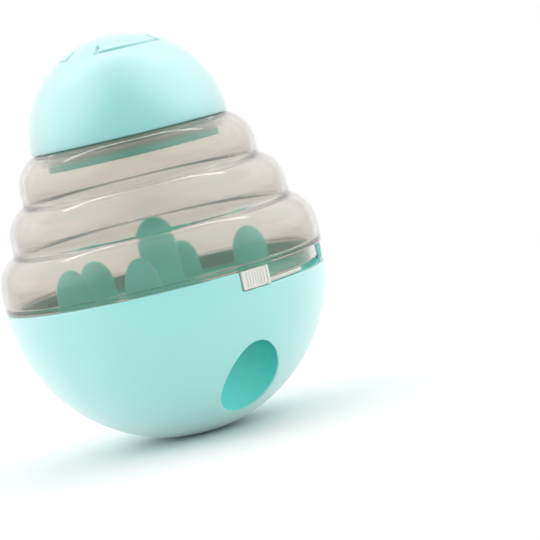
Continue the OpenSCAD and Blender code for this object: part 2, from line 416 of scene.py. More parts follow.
def node_box(node: str) -> tuple[np.ndarray, np.ndarray]:
    """Lowest and highest corner of a solid of the frame."""
    low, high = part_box(node)
    return np.array(low) / MM, np.array(high) / MM


@dataclass(frozen=True)
class Measures:
    """Sizes that several sub-assemblies share, most of them read from the frame."""

    base_r: float
    rim_z: float
    skirt_z: float
    shell_r: float
    neck_z: float
    neck_r: float
    cap_z: float
    plug_z: float
    plate_z: float
    peg_top: float
    post_top: float
    gate_z: float
    gate_top: float
    tab_z: float
    tab_top: float
    outlet_y: float = -36.5
    outlet_r: float = 10.2
    leaf_gap: float = 0.1
    lug_at: tuple[float, ...] = (80.0, 200.0, 320.0)

    @classmethod
    def from_frame(cls) -> "Measures":
        """Reads the boxes of the solids.

        Returns:
            The sizes.
        """
        bowl, shell, dome, plug = (
            node_box(node) for node in ("base_bowl", "clear_shell", "cap_dome", "cap_plug")
        )
        plate, post, leaf, tab = (
            node_box(node) for node in ("floor_plate", "centre_post", "gate_leaf", "thumb_tab")
        )
        return cls(
            base_r=float(bowl[1][0]),
            rim_z=float(bowl[1][2]),
            skirt_z=float(shell[0][2]),
            shell_r=float(shell[1][0]),
            neck_z=float(shell[1][2]),
            neck_r=float(dome[1][0]),
            cap_z=float(dome[0][2]),
            plug_z=float(plug[0][2]),
            plate_z=float(plate[0][2]),
            peg_top=float(plate[1][2]),
            post_top=float(post[1][2]),
            gate_z=float(leaf[0][2]),
            gate_top=float(leaf[1][2]),
            tab_z=float(tab[0][2]),
            tab_top=float(tab[1][2]),
        )

    @property
    def tab_at(self) -> float:
        """Angle of the tab's middle."""
        middle = np.mean(node_box("thumb_tab"), axis=0)
        return math.degrees(math.atan2(middle[0], -middle[1]))

    @property
    def floor_z(self) -> float:
        """Top of the chamber floor, just under the gate leaf."""
        return self.gate_z - self.leaf_gap


# Shader nodes


def feed(tree: Tree, node: Node, inputs: Inputs) -> None:
    """Sets inputs of a node to values, or links them to sockets.

    Args:
        tree: the tree that holds the node.
        node: the node.
        inputs: a value or a socket for each input's name or number.
    """
    for key, value in inputs.items():
        if isinstance(value, Socket):
            tree.links.new(value, node.inputs[key])
        else:
            node.inputs[key].default_value = value


def add_node(
    tree: Tree, kind: str, inputs: Inputs | None = None, **settings: str | Tree
) -> Node:
    """Adds a shader node.

    Args:
        tree: the tree to add to.
        kind: the node's type, without the words Shader Node.
        inputs: a value or a socket for each input's name or number.
        settings: the node's own choices.

    Returns:
        The node.
    """
    made = tree.nodes.new("ShaderNode" + kind)
    for name, choice in settings.items():
        setattr(made, name, choice)
    feed(tree, made, inputs or {})
    return made


def ray_switch(tree: Tree, first: Ray, *others: Ray) -> Socket:
    """One for rays of the kinds named, and zero for others.

    Args:
        tree: the tree to add to.
        first: a kind of ray.
        others: more kinds.

    Returns:
        The switch.
    """
    path = add_node(tree, "LightPath").outputs
    made = path[first.value]
    for kind in others:
        both = add_node(tree, "Math", {0: made, 1: path[kind.value]}, operation="MAXIMUM")
        made = both.outputs["Value"]
    return made


# Finishes


def linear(red: int, green: int, blue: int) -> Colour:
    """A screen colour as the linear colour that a shader takes.

    Args:
        red: 0 to 255.
        green: 0 to 255.
        blue: 0 to 255.

    Returns:
        c / 12.92 where c is small, otherwise ((c + 0.055) / 1.055)^2.4, with c from 0 to 1.
    """
    share = np.array([red, green, blue]) / 255.0
    made = np.where(share <= 0.04045, share / 12.92, ((share + 0.055) / 1.055) ** 2.4)
    return (float(made[0]), float(made[1]), float(made[2]), 1.0)


class EffectGroup:
    """A shader node group with named sockets that several finishes place."""

    def __init__(self, name: str, values: dict[str, float], results: tuple[str, ...]) -> None:
        """Starts the group.

        Args:
            name: the group's name.
            values: its number inputs and what they start at.
            results: its number outputs.
        """
        self.tree = bpy.data.node_groups.new(name, "ShaderNodeTree")
        face = self.tree.interface
        face.new_socket("Place", in_out="INPUT", socket_type="NodeSocketVector")
        for label, start in values.items():
            made = face.new_socket(label, in_out="INPUT", socket_type="NodeSocketFloat")
            made.default_value = start
        for label in results:
            face.new_socket(label, in_out="OUTPUT", socket_type="NodeSocketFloat")
        self.inlet = self.tree.nodes.new("NodeGroupInput")
        self.outlet = self.tree.nodes.new("NodeGroupOutput")

    def turned(self, turn: Triple, stretch: Triple) -> Socket:
        """The group's place, turned by radians and scaled along each axis."""
        inputs = {"Vector": self.inlet.outputs["Place"], "Rotation": turn, "Scale": stretch}
        return add_node(self.tree, "Mapping", inputs).outputs["Vector"]

    def noise(self, result: str, place: Socket, scale: str, detail: float, spread: Pair) -> None:
        """Puts out a noise, mapped so that the low end of spread becomes 0 and the high end 1.

        Args:
            result: the output's name.
            place: where it is read.
            scale: the input that sets its scale.
            detail: its octaves.
            spread: what becomes 0 and what becomes 1.
        """
        inputs = {"Vector": place, "Scale": self.inlet.outputs[scale], "Detail": detail}
        source = add_node(self.tree, "TexNoise", inputs).outputs["Fac"]
        inputs = {"Value": source, "From Min": spread[0], "From Max": spread[1]}
        made = add_node(self.tree, "MapRange", inputs, interpolation_type="SMOOTHSTEP")
        feed(self.tree, self.outlet, {result: made.outputs["Result"]})


@dataclass
class Effects:
    """The effects that the finishes share: the mould's grain and fine scuffs.

    Attributes:
        scuff_scale: scale of the scuffs, per metre.
        scuff_turn: turn of the scuffs' direction, in radians.
        scuff_stretch: scale of the scuffs along each axis.
    """

    scuff_scale: float = 1400.0
    scuff_turn: Triple = (0.4, 0.7, 0.2)
    scuff_stretch: Triple = (0.05, 1.0, 1.0)

    def __post_init__(self) -> None:
        """Builds the node groups."""
        scales = dict(zip(("Grain scale", "Drift scale"), GRAIN_SCALES))
        grain = EffectGroup("mould_grain", scales, ("Height", "Drift"))
        place = grain.inlet.outputs["Place"]
        grain.noise("Height", place, "Grain scale", detail=3.0, spread=(0.3, 0.7))
        grain.noise("Drift", place, "Drift scale", detail=4.0, spread=(0.28, 0.72))
        self.grain = grain.tree
        scuff = EffectGroup("fine_scuffs", {"Scuff scale": self.scuff_scale}, ("Scuff",))
        place = scuff.turned(self.scuff_turn, self.scuff_stretch)
        scuff.noise("Scuff", place, "Scuff scale", detail=2.0, spread=(0.58, 0.82))
        self.scuff = scuff.tree


@dataclass(frozen=True)
class Finish:
    """A procedural finish: two close tones, a drifting gloss, mould grain and faint scuffs.

    Attributes:
        name: the material's name.
        tone: the main colour.
        shade: the tone it drifts to.
        gloss: lowest and highest roughness.
        grain: grain and drift scales, per metre.
        relief: bump strength of the grain.
        relief_deep: depth of the grain.
        scuff: how much scuffs add to the roughness.
        metallic: 1 for metal.
        transmission: 1 for clear plastic.
        ior: refraction.
        coat: clear coat weight.
        coat_gloss: roughness of the clear coat.
        coat_ior: refraction of the clear coat.
        subsurface: share of light that goes into the plastic.
        subsurface_tint: how far each colour goes, as shares of subsurface_deep.
        subsurface_deep: how far light goes in.
        specular: strength of the mirror light, 0.5 as the refraction gives it.
        sheen: share of pale light that the skin gives at a low angle.
        sheen_spread: how far that light spreads in from the edges, 0 to 1.
        lamp_tint: what lamps keep through each skin of a clear piece, or none.
    """

    name: str
    tone: Colour
    shade: Colour
    gloss: Pair
    grain: Pair = GRAIN_SCALES
    relief: float = 0.02
    relief_deep: float = 0.1
    scuff: float = 0.04
    metallic: float = 0.0
    transmission: float = 0.0
    ior: float = 1.5
    coat: float = 0.0
    coat_gloss: float = 0.03
    coat_ior: float = 1.5
    subsurface: float = 0.0
    subsurface_tint: Triple = (0.5, 1.0, 0.95)
    subsurface_deep: float = 2.0
    specular: float = 0.5
    sheen: float = 0.0
    sheen_spread: float = 0.5
    lamp_tint: Colour | None = None

    def material(self, effects: Effects) -> Material:
        """Builds the material.

        Args:
            effects: the shared node groups.

        Returns:
            The material with its Principled shader.
        """
        made = bpy.data.materials.new(self.name)
        made.use_nodes = True
        tree = made.node_tree
        place = add_node(tree, "TexCoord").outputs["Object"]
        scales = {"Grain scale": self.grain[0], "Drift scale": self.grain[1]}
        grain = add_node(tree, "Group", {"Place": place, **scales}, node_tree=effects.grain)
        scuff = add_node(tree, "Group", {"Place": place}, node_tree=effects.scuff)
        drift = grain.outputs["Drift"]
        tones = {"Factor": drift, "A": self.tone, "B": self.shade}
        gloss = {"Value": drift, "To Min": self.gloss[0], "To Max": self.gloss[1]}
        rough = add_node(tree, "MapRange", gloss).outputs["Result"]
        worn = {0: scuff.outputs["Scuff"], 1: self.scuff, 2: rough}
        relief = {
            "Strength": self.relief,
            "Distance": self.relief_deep * MM,
            "Height": grain.outputs["Height"],
        }
        shader = tree.nodes["Principled BSDF"]
        inputs = {
            "Base Color": add_node(tree, "Mix", tones, data_type="RGBA").outputs["Result"],
            "Roughness": add_node(tree, "Math", worn, operation="MULTIPLY_ADD").outputs["Value"],
            "Normal": add_node(tree, "Bump", relief).outputs["Normal"],
            "Metallic": self.metallic,
            "Transmission Weight": self.transmission,
            "IOR": self.ior,
            "Coat Weight": self.coat,
            "Coat Roughness": self.coat_gloss,
            "Coat IOR": self.coat_ior,
            "Subsurface Weight": self.subsurface,
            "Subsurface Radius": self.subsurface_tint,
            "Subsurface Scale": self.subsurface_deep * MM,
            "Specular IOR Level": self.specular,
            "Sheen Weight": self.sheen,
            "Sheen Roughness": self.sheen_spread,
        }
        feed(tree, shader, inputs)
        if self.lamp_tint is not None:
            # The lamps' rays meet a plain film in the shader's place, so that they reach inside.
            film = add_node(tree, "BsdfTransparent", {"Color": self.lamp_tint}).outputs["BSDF"]
            ways = {"Fac": ray_switch(tree, Ray.LAMP), 1: shader.outputs["BSDF"], 2: film}
            mixed = add_node(tree, "MixShader", ways).outputs["Shader"]
            feed(tree, tree.nodes["Material Output"], {"Surface": mixed})
        return made


TEAL_BOWL = Finish(
    name="teal_bowl_plastic",
    tone=linear(113, 213, 208),
    shade=linear(107, 208, 203),
    gloss=(0.36, 0.44),
    scuff=0.03,
    ior=1.7,
    specular=1.0,
    sheen=0.9,
    sheen_spread=0.72,
)
# Painted shade: the bore is the bowl's plastic, given a deeper, more saturated teal without sheen
# that stands in for the shade inside the outlet's hole. Its higher roughness is a matt moulded
# finish.
TEAL_BORE_PAINTED_SHADE = Finish(
    name="teal_bore_painted_shade",
    tone=linear(102, 226, 218),
    shade=linear(96, 221, 213),
    gloss=(0.45, 0.55),
    relief=0.04,
)
# Painted light: the floor and pegs get a lighter, more saturated teal than the bowl's, so that seen
# through the smoke shell they look as bright as if more light reached them.
TEAL_FLOOR_PAINTED_LIGHT = Finish(
    name="teal_floor_painted_light",
    tone=linear(86, 222, 208),
    shade=linear(80, 216, 202),
    gloss=(0.36, 0.46),
    relief=0.04,
    scuff=0.03,
)
TEAL_CAP = Finish(
    name="teal_cap_plastic",
    tone=linear(62, 188, 182),
    shade=linear(56, 183, 177),
    gloss=(0.32, 0.4),
    scuff=0.03,
    ior=1.9,
    specular=1.0,
    sheen=1.0,
    sheen_spread=0.7,
)
# Painted shade: the plug is the cap's plastic, given a deeper, matt teal without sheen so that it
# reads as shaded under the cap.
TEAL_PLUG_PAINTED_SHADE = Finish(
    name="teal_plug_painted_shade",
    tone=linear(40, 194, 180),
    shade=linear(36, 188, 174),
    gloss=(0.36, 0.46),
    relief=0.04,
    scuff=0.03,
)
SMOKE = Finish(
    name="smoke_clear_plastic",
    tone=(0.755, 0.72, 0.665, 1.0),
    shade=(0.74, 0.705, 0.65, 1.0),
    gloss=(0.06, 0.1),
    relief=0.004,
    scuff=0.03,
    transmission=1.0,
    ior=1.2,
    coat=1.0,
    coat_ior=1.6,
    lamp_tint=(0.86, 0.84, 0.80, 1.0),
)
FROST = Finish(
    name="frosted_clear_plastic",
    tone=(0.88, 0.885, 0.845, 1.0),
    shade=(0.84, 0.845, 0.805, 1.0),
    gloss=(0.3, 0.42),
    relief=0.05,
    transmission=0.18,
    ior=1.49,
)
WEIGHT_STEEL = Finish(
    name="plated_weight_steel",
    tone=(0.56, 0.55, 0.53, 1.0),
    shade=(0.44, 0.43, 0.41, 1.0),
    gloss=(0.3, 0.5),
    relief=0.1,
    scuff=0.15,
    metallic=1.0,
)
SCREW_STEEL = Finish(
    name="bright_screw_steel",
    tone=(0.66, 0.65, 0.63, 1.0),
    shade=(0.54, 0.53, 0.51, 1.0),
    gloss=(0.2, 0.34),
    relief=0.06,
    scuff=0.12,
    metallic=1.0,
)
SILICONE = Finish(
    name="seal_silicone_rubber",
    tone=linear(206, 214, 210),
    shade=linear(192, 201, 197),
    gloss=(0.5, 0.62),
    relief=0.05,
    subsurface=0.2,
)


# The base


@dataclass
class Bowl:
    """The round lower half: a ball's skin with the outlet's mouth, the rim's notch and a seat.

    The belt is the level line under the notch. From it the columns of the skin lean towards the
    notch's sides, by belt_lean at most, which fades over belt_reach.
    """

    sizes: Measures
    finish: Material
    # The bore's finish carries painted shade.
    bore_shade_finish: Material
    bore_slack: float = 0.02
    mouth_bite: float = 0.55
    rim_round: float = 0.45
    notch: Pair = (-4.33, 63.9)
    notch_drop: float = 6.2
    notch_round: float = 0.9
    belt_drop: float = 2.6
    belt_lean: float = 1.4
    belt_reach: float = 14.0
    seat_r: float = 50.0
    inside_r: float = 49.2
    tube_r: float = 12.0
    twist: float = 20.0
    slot_half: float = 5.6
    slot_deep: float = 0.9
    slot_drop: Pair = (4.3, 2.1)
    slot_slope: float = 0.15
    slot_end_slope: float = 0.4
    boss_at: tuple[float, ...] = (180.0, 300.0, 60.0)
    boss_ring: float = 16.0
    boss_r: float = 4.0
    boss_top: float = 12.0
    column_r: float = 5.0
    column_foot: float = 2.0
    post_round: float = 0.3
    rim_points: int = 400
    notch_points: tuple[int, int, int] = (13, 84, 13)
    bend_points: int = 9
    mouth_rows: int = 9
    outside_rows: int = 45
    flank_rows: int = 8
    edge_rows: int = 6
    seat_rows: int = 19
    inside_rows: int = 25
    tube_rows: int = 4
    bore_rows: int = 14
    column_sides: int = 48
    boss_sides: int = 32

    def rim_line(self) -> tuple[np.ndarray, np.ndarray, np.ndarray, np.ndarray]:
        """The rim's top line, unrolled: along the rim, down into the notch, along it and up again.

        Corners are the curves (1-t)^2 A + 2t(1-t) C + t^2 B between the points A and B that lie one
        rounding before and after the corner C.

        Returns:
            Angle and height of each column, and the direction into the plastic across the line: its
            share along the rim and its share in height.
        """
        reach, ease = self.sizes.base_r, self.notch_round
        top, low = self.sizes.rim_z, self.sizes.rim_z - self.notch_drop
        whole = 2.0 * math.pi * reach
        right = math.radians(self.notch[1]) * reach
        near, far = (math.radians(a) * reach + whole for a in self.notch)
        corners = np.array([[near, top], [near, low], [far, low], [far, top]])
        before = np.array([[-1.0, 0.0], [0.0, 1.0], [-1.0, 0.0], [0.0, -1.0]]) * ease
        after = np.array([[0.0, -1.0], [1.0, 0.0], [0.0, 1.0], [1.0, 0.0]]) * ease
        t = np.linspace(0.0, 1.0, self.bend_points)[None, :, None]
        start, end = (corners + before)[:, None], (corners + after)[:, None]
        bends = (1 - t) ** 2 * start + 2 * t * (1 - t) * corners[:, None] + t**2 * end
        back = np.array([[right + ease, top], [near - ease, top]])
        parts = [between(back[0], back[1], self.rim_points), bends[0]]
        for k, count in enumerate(self.notch_points):
            parts += [between(bends[k, -1], bends[k + 1, 0], count), bends[k + 1]]
        line = np.concatenate(parts)
        shift = np.array([[whole, 0.0]])
        ahead = np.concatenate([line[1:], line[:1] + shift])
        step = ahead - np.concatenate([line[-1:] - shift, line[:-1]])
        step /= np.linalg.norm(step, axis=1, keepdims=True)
        return np.degrees(line[:, 0] / reach), line[:, 1], step[:, 1], -step[:, 0]

    def slot_depth(self, angle: np.ndarray, height: np.ndarray) -> np.ndarray:
        """Depth of the twist slots in the seat: an entry from the rim down and a run sideways.

        Args:
            angle: angles round the seat.
            height: heights on the seat.

        Returns:
            The depth at each point.
        """
        slope, half = self.slot_slope, self.twist / 2.0
        low, high = (self.sizes.rim_z - drop for drop in self.slot_drop)
        above = smooth_step(low - slope, low + slope, height)
        below = smooth_step(high + slope, high - slope, height)
        deep = np.zeros(np.broadcast(angle, height).shape)
        for centre in self.sizes.lug_at:
            off = short_way(angle, centre + half)
            run = self._within(off, half + self.slot_half) * below
            entry = self._within(off - half, self.slot_half)
            deep = np.maximum(deep, np.maximum(run, entry) * above)
        return self.slot_deep * deep

    def _within(self, off: np.ndarray, half: float) -> np.ndarray:
        """One within half of a slot's middle and zero outside, with sloped ends."""
        return smooth_step(half + self.slot_end_slope, half - self.slot_end_slope, np.abs(off))

    def level_r(self, ball: float, height: Numbers) -> Numbers:
        """Radius of a ball about the rim's centre at a height."""
        return np.sqrt(ball**2 - (height - self.sizes.rim_z) ** 2)

    def skin(self) -> Surface:
        """The whole bowl as one ring-shaped grid.

        Columns go round the ball; rows go from the mouth's rounding over the outer ball to the
        rim, across it, down the seat, over the ledge and the inner ball to the outlet's tube, up
        that and back down its bore. On either ball a column is a great arc between two known lines.

        Returns:
            The closed skin.
        """
        angle, height, side, down = self.rim_line()
        size, ball = self.sizes, self.sizes.base_r
        centre = np.array([0.0, 0.0, size.rim_z])
        notch_z = size.rim_z - self.notch_drop
        belt_z = notch_z - self.belt_drop
        left, right = (np.exp(-np.abs(short_way(angle, a)) / self.belt_reach) for a in self.notch)
        share = np.clip((height - notch_z) / self.notch_drop, 0.0, 1.0)
        belt_angle = angle + self.belt_lean * share * (right - left)
        belt = around(belt_angle, self.level_r(ball, belt_z), belt_z)
        hole = np.array([0.0, size.outlet_y, 0.0])
        turn = np.arctan2(belt[:, 1] - hole[1], belt[:, 0])
        ray = np.stack([np.cos(turn), np.sin(turn), np.zeros_like(turn)], axis=-1)

        # The mouth's rounding: a small ball that touches the bore and the outer ball. Its radius is
        # the bite times tan(edge angle / 2), so that a sharp edge is not eaten away.
        edge = hole + size.outlet_r * ray
        edge[:, 2] = -np.sqrt(ball**2 - (edge**2).sum(axis=1))
        spread = np.arccos(np.clip(-(edge * ray).sum(axis=1) / ball, -1.0, 1.0))
        small = (self.mouth_bite * np.tan((math.pi - spread) / 2.0))[:, None]
        roll = hole + (size.outlet_r + small) * ray
        far = (ball - small[:, 0]) ** 2 - (roll**2).sum(axis=1)
        roll[:, 2] = size.rim_z - np.sqrt(far)
        outward = (roll - centre) / (ball - small)
        mouth = roll + small * slerp(-ray, outward, np.linspace(0.0, 1.0, self.mouth_rows))
        outside = centre + ball * slerp(outward, (belt - centre) / ball, onward(self.outside_rows))

        # The rim: its outer and inner edges are quarter rounds across the line.
        drop, inset = (gap[:, None] for gap in quarter_round(self.rim_round, self.edge_rows))
        rim_angle = angle + np.degrees(drop * side / ball)
        rim_height = height + drop * down
        outer_edge = around(rim_angle, self.level_r(ball, rim_height) - inset, rim_height)
        t = between(0.0, 1.0, self.flank_rows)[:, None]
        up_angle = belt_angle + t * (rim_angle[0] - belt_angle)
        up_height = belt_z + t * (rim_height[0] - belt_z)
        flank = around(up_angle, self.level_r(ball, up_height), up_height)
        seat_edge = self.seat_r + self.slot_depth(rim_angle, rim_height)
        inner_edge = around(rim_angle, seat_edge + inset, rim_height)[::-1]

        # The seat, the ledge under it and the inner ball.
        t = onward(self.seat_rows)[:, None]
        down_angle = rim_angle[0] + t * (belt_angle - rim_angle[0])
        down_height = rim_height[0] + t * (size.plate_z - rim_height[0])
        seat_r = self.seat_r + self.slot_depth(down_angle, down_height)
        seat = around(down_angle, seat_r, down_height)
        ledge_r = self.level_r(self.inside_r, size.plate_z)
        steps = np.array([0.5 * (self.seat_r + ledge_r), ledge_r])
        ledge = around(belt_angle, steps[:, None], size.plate_z)
        foot = hole + self.tube_r * ray
        foot[:, 2] = size.rim_z - np.sqrt(self.inside_r**2 - (foot**2).sum(axis=1))
        start, end = ((line - centre) / self.inside_r for line in (ledge[-1], foot))
        inside = centre + self.inside_r * slerp(start, end, onward(self.inside_rows))

        # The outlet's tube outside, its top edge and its bore.
        rise = np.array([0.0, 0.0, 1.0]) * (size.plate_z - foot[:, 2:])
        tube = foot + onward(self.tube_rows)[:, None, None] * rise
        steps = np.array([0.5 * (self.tube_r + size.outlet_r), size.outlet_r])
        top = hole + steps[:, None, None] * ray
        top[..., 2] = size.plate_z
        bore = top[-1] + between(0.0, 1.0, self.bore_rows)[:, None, None] * (mouth[0] - top[-1])
        rows = np.concatenate(
            [mouth, outside, flank, outer_edge, inner_edge, seat, ledge, inside, tube, top, bore]
        )
        rows[..., 2] = np.maximum(rows[..., 2], 0.0)
        return grid_surface(rows)

    def posts(self) -> Surface:
        """The screw column under the floor and the weight bosses, each a softened turned solid.

        A boss starts within the wall: halfway between the outer ball at its far edge and the inner
        ball at its near edge.

        Returns:
            The closed posts.
        """
        size, ring, wide = self.sizes, self.boss_ring, self.boss_r
        outer = math.sqrt(size.base_r**2 - (ring + wide) ** 2)
        inner = math.sqrt(self.inside_r**2 - (ring - wide) ** 2)
        start = size.rim_z - 0.5 * (outer + inner)
        column, boss = (
            np.array([[0.0, low], [r, low], [r, high], [0.0, high]])
            for r, low, high in (
                (self.column_r, self.column_foot, size.plate_z),
                (wide, start, self.boss_top),
            )
        )
        return joined(
            turned_solid(column, self.column_sides, self.post_round),
            *(
                turned_solid(boss, self.boss_sides, self.post_round, at=(angle, ring))
                for angle in self.boss_at
            ),
        )

    def build(self) -> None:
        """Makes the bowl, its matt bore with a painted-shade teal and the posts inside it."""
        bowl = add_piece("bowl", self.skin(), self.finish, Body.BASE, Slot.BOWL, "base_bowl")
        # The bore's faces take the second material, whose deeper teal is painted shade.
        bowl.data.materials.append(self.bore_shade_finish)
        middles = np.empty(3 * len(bowl.data.polygons))
        bowl.data.polygons.foreach_get("center", middles)
        x, y, _ = middles.reshape(-1, 3).T / MM
        off = np.hypot(x, y - self.sizes.outlet_y)
        in_bore = off < self.sizes.outlet_r + self.bore_slack
        bowl.data.polygons.foreach_set("material_index", in_bore.astype(np.int32))
        add_piece("bowl_posts", self.posts(), self.finish, Body.BASE, Slot.BOWL)


@dataclass
class ChamberFloor:
    """The chamber's plate: its drop hole, pegs, curb, gate guide, keeper and post socket.

    Walls stand wall_sunk deep in the plate. The tops of the curb and the guide, and the keeper's
    foot and top, are counted from the top of the gate leaf, and the socket's top from the floor.
    """

    sizes: Measures
    finish: Material
    plate_r: float = 49.85
    edge: float = 0.35
    peg_ring: float = 30.7
    peg_at: tuple[float, ...] = (77.0, 137.0, 197.0, 257.0, 317.0)
    peg_foot: float = 5.8
    peg_tip: float = 10.5
    peg_flare: float = 1.6
    peg_sunk: float = 0.4
    peg_soft: float = 0.18
    wall_sunk: float = 0.3
    wall_soft: float = 0.16
    wall_ends: float = 0.3
    curb: Pair = (63.9, 341.5)
    curb_r: Pair = (47.7, 49.7)
    curb_top: float = -0.1
    guide: Pair = (-17.0, 62.0)
    guide_r: Pair = (23.4, 24.8)
    guide_top: float = 0.5
    keeper: Pair = (17.5, 27.5)
    keeper_r: Pair = (23.5, 26.6)
    keeper_z: Pair = (0.2, 1.4)
    socket_r: Pair = (6.75, 8.1)
    socket_top: float = 2.2
    socket_soft: float = 0.2
    plate_columns: int = 300
    plate_rows: int = 28
    edge_rows: int = 5
    flare_points: int = 9

    def plate(self) -> Surface:
        """The plate as a ring-shaped grid about the drop hole.

        Columns turn about the hole; a row at share t lies on the straight line from the hole's
        edge to the plate's edge, and both edges are quarter rounds.

        Returns:
            The closed plate.
        """
        size = self.sizes
        turn = np.radians(full_turn(self.plate_columns))
        ray = np.stack([np.cos(turn), np.sin(turn)], axis=-1)
        hole = np.array([0.0, size.outlet_y])
        slope = ray @ hole
        far = -slope + np.sqrt(slope**2 + self.plate_r**2 - hole @ hole)
        near = np.full_like(far, size.outlet_r)
        edge, low, high = self.edge, size.plate_z, size.floor_z
        rise, inset = quarter_round(edge, self.edge_rows)
        flat = near + edge + between(0.0, 1.0, self.plate_rows)[:, None] * (far - near - 2.0 * edge)
        reach = np.concatenate([near + inset[:, None], flat, far - inset[::-1, None]])
        lift = np.concatenate([rise, np.zeros(len(flat)), rise[::-1]])
        rows = np.empty((2 * len(reach), len(ray), 3))
        rows[..., :2] = hole + np.concatenate([reach, reach[::-1]])[..., None] * ray
        rows[..., 2] = np.concatenate([high - lift, low + lift])[:, None]
        return grid_surface(rows)

    def peg(self, angle: float) -> Surface:
        """A round-topped peg: a quarter circle at its foot, a straight side and a quarter oval.

        Args:
            angle: its place round the floor.

        Returns:
            The closed peg.
        """
        floor, foot, flare = self.sizes.floor_z, self.peg_foot, self.peg_flare
        low, wide = floor - self.peg_sunk, foot + flare
        curve = arc((wide, floor + flare), flare, 270.0, 180.0, self.flare_points)
        tip = oval_tip(foot, self.peg_tip, self.sizes.peg_top - self.peg_tip)
        profile = np.concatenate([[[0.0, low], [wide, low]], curve, tip])
        return turned_solid(profile, columns=56, reach=self.peg_soft, at=(angle, self.peg_ring))

    def wall(self, ends: Pair, radii: Pair, low: float, high: float, columns: int) -> Surface:
        """A softened box carried along an arc.

        Args:
            ends: first and last angle.
            radii: inner and outer radius.
            low: height of its foot.
            high: height of its top.
            columns: stations along the arc.

        Returns:
            The closed wall.
        """
        outline = box_outline((radii[0], low), (radii[1], high), self.wall_soft)
        return swept_arc(outline, ends, columns, self.wall_ends)

    def build(self) -> None:
        """Makes the floor with everything that stands on it."""
        leaf, floor = self.sizes.gate_top, self.sizes.floor_z
        foot = floor - self.wall_sunk
        keeper_z = (leaf + z for z in self.keeper_z)
        socket_top = (self.socket_r[1], floor + self.socket_top)
        socket = box_outline((self.socket_r[0], foot), socket_top, self.socket_soft)
        skin = joined(
            self.plate(),
            self.wall(self.curb, self.curb_r, foot, leaf + self.curb_top, columns=150),
            self.wall(self.guide, self.guide_r, foot, leaf + self.guide_top, columns=60),
            self.wall(self.keeper, self.keeper_r, *keeper_z, columns=14),
            turned_ring(socket, columns=72),
            *(self.peg(a) for a in self.peg_at),
        )
        add_piece("chamber_floor", skin, self.finish, Body.BASE, Slot.FLOOR, "floor_plate")


@dataclass
class CentrePost:
    """The tall finger in the middle of the floor."""

    sizes: Measures
    finish: Material
    foot_r: float = 6.55
    foot_gap: float = 0.1
    foot_top: float = 3.0
    taper: float = 0.94
    tip: float = 7.0
    soft: float = 0.2

    def build(self) -> None:
        """Makes the post: an upright foot, a tapering side and an oval tip."""
        low, high = (self.sizes.floor_z + rise for rise in (self.foot_gap, self.foot_top))
        tip = oval_tip(self.foot_r * self.taper, self.tip, self.sizes.post_top - self.tip)
        foot = [[0.0, low], [self.foot_r, low], [self.foot_r, high]]
        skin = turned_solid(np.concatenate([foot, tip]), columns=64, reach=self.soft)
        add_piece("centre_post", skin, self.finish, Body.BASE, Slot.FLOOR, "centre_post")


@dataclass
class SunkMetal:
    """The steel weight and the screws inside the base, which keep their solids."""

    weight: Material
    screw: Material

    def dress(self) -> None:
        """Gives each solid its steel."""
        for node, finish in (
            ("counterweight", self.weight),
            ("weight_screws", self.screw),
            ("plate_screw", self.screw),
        ):
            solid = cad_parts[node]
            solid.data.materials.clear()
            solid.data.materials.append(finish)
            LOG.info("%s: keeps its solid", node)


# The gate


